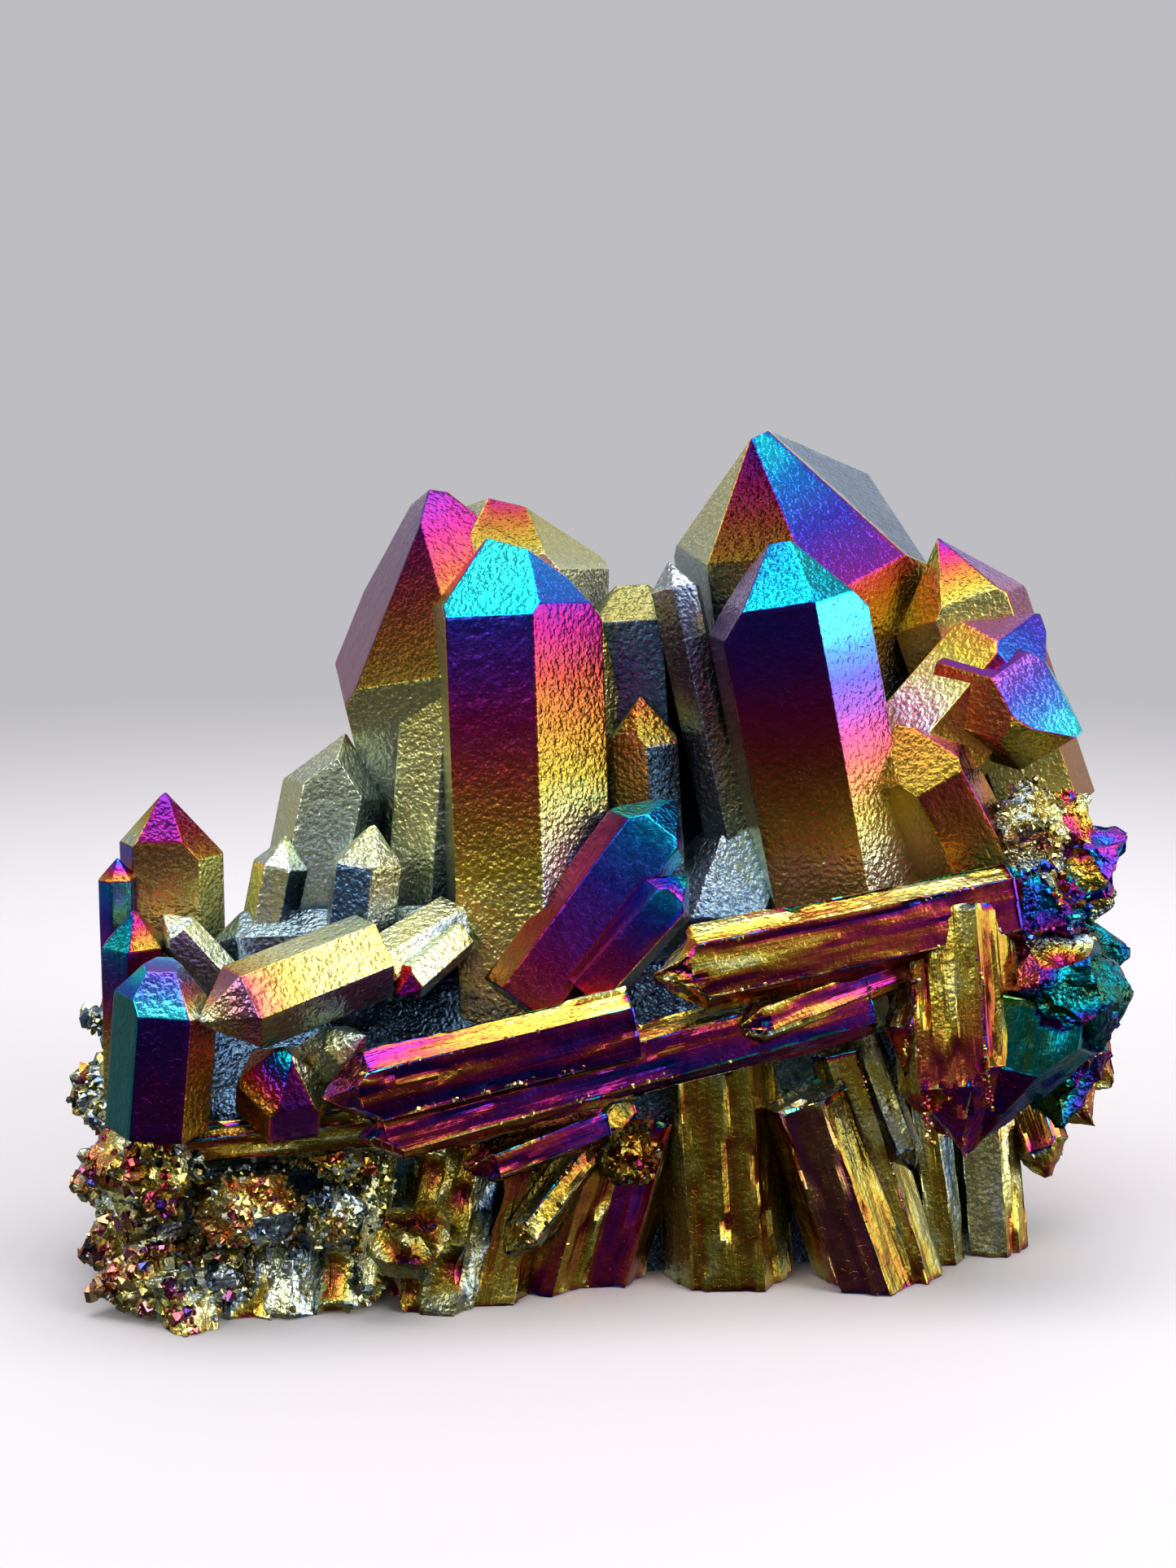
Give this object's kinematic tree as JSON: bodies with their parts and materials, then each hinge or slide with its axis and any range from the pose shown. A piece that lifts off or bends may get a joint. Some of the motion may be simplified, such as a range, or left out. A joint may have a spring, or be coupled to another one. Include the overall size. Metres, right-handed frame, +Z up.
{
  "type": "aura quartz cluster",
  "caption": "Titanium-coated quartz crystal cluster: tall pointed crystals and lying bars grown together on a rocky base cut flat underneath, with a rainbow metallic film.",
  "frame": {"origin": "centre of the bounding box, on the flat cut face underneath", "axes": "+X along the longest extent of the cluster, +Y towards its back, +Z up out of the cut face"},
  "size_m": [0.0908, 0.0608, 0.0697],
  "materials": {
    "aura_coat": "polished"
  },
  "bodies": {
    "root": {"quartz_cluster": "aura_coat"}
  },
  "joints": []
}
